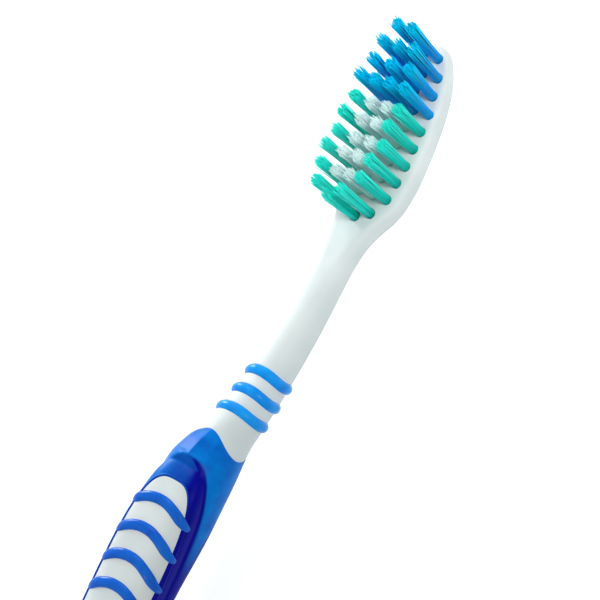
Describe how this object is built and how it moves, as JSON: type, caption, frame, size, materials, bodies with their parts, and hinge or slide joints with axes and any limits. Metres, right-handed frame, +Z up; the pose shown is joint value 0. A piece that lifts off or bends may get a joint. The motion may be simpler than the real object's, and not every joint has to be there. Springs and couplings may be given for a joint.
{
  "type": "manual toothbrush",
  "caption": "Manual toothbrush with a white two-shot handle, soft blue grip with a ribbed thumb pad, soft neck rings, and blue, turquoise and pale tufts.",
  "frame": {"origin": "middle of the brush's length and width, on the surface that it lies on, bristles up", "axes": "+X to the tip of the head, +Y across the head, +Z up, the way the bristles stand"},
  "size_m": [0.1906, 0.0138, 0.0214],
  "materials": {
    "white_core": "moulded white polypropylene, satin gloss",
    "soft_grip": "overmoulded blue thermoplastic elastomer, soft satin",
    "soft_ring": "overmoulded bright blue thermoplastic elastomer, glossy",
    "blue_filament": "blue nylon filament, cut and end-rounded",
    "turquoise_filament": "turquoise nylon filament, cut and end-rounded",
    "pale_filament": "milky pale green nylon filament, cut and end-rounded",
    "anchor_wire": "drawn flat brass wire"
  },
  "bodies": {
    "root": {"handle_core": "white_core", "grip_overmould": "soft_grip", "neck_ring_1": "soft_ring", "neck_ring_2": "soft_ring", "neck_ring_3": "soft_ring", "staple_anchors": "anchor_wire", "tip_tuft_1_1": "blue_filament", "tip_tuft_1_2": "blue_filament", "tip_tuft_2_1": "blue_filament", "tip_tuft_2_2": "blue_filament", "tip_tuft_2_3": "blue_filament", "tip_tuft_3_1": "blue_filament", "tip_tuft_3_2": "blue_filament", "tip_tuft_3_3": "blue_filament", "tip_tuft_4_1": "blue_filament", "tip_tuft_4_2": "blue_filament", "tip_tuft_4_3": "blue_filament", "tip_tuft_4_4": "blue_filament", "side_tuft_5_1": "turquoise_filament", "side_tuft_5_2": "turquoise_filament", "inner_tuft_5_3": "pale_filament", "inner_tuft_5_4": "pale_filament", "side_tuft_6_1": "turquoise_filament", "side_tuft_6_2": "turquoise_filament", "inner_tuft_6_3": "pale_filament", "inner_tuft_6_4": "pale_filament", "side_tuft_7_1": "turquoise_filament", "side_tuft_7_2": "turquoise_filament", "inner_tuft_7_3": "pale_filament", "inner_tuft_7_4": "pale_filament", "side_tuft_8_1": "turquoise_filament", "side_tuft_8_2": "turquoise_filament", "inner_tuft_8_3": "pale_filament", "inner_tuft_8_4": "pale_filament", "side_tuft_9_1": "turquoise_filament", "side_tuft_9_2": "turquoise_filament", "inner_tuft_9_3": "pale_filament", "inner_tuft_9_4": "pale_filament", "heel_tuft_10_1": "turquoise_filament", "heel_tuft_10_2": "turquoise_filament", "heel_tuft_10_3": "turquoise_filament"}
  },
  "joints": []
}
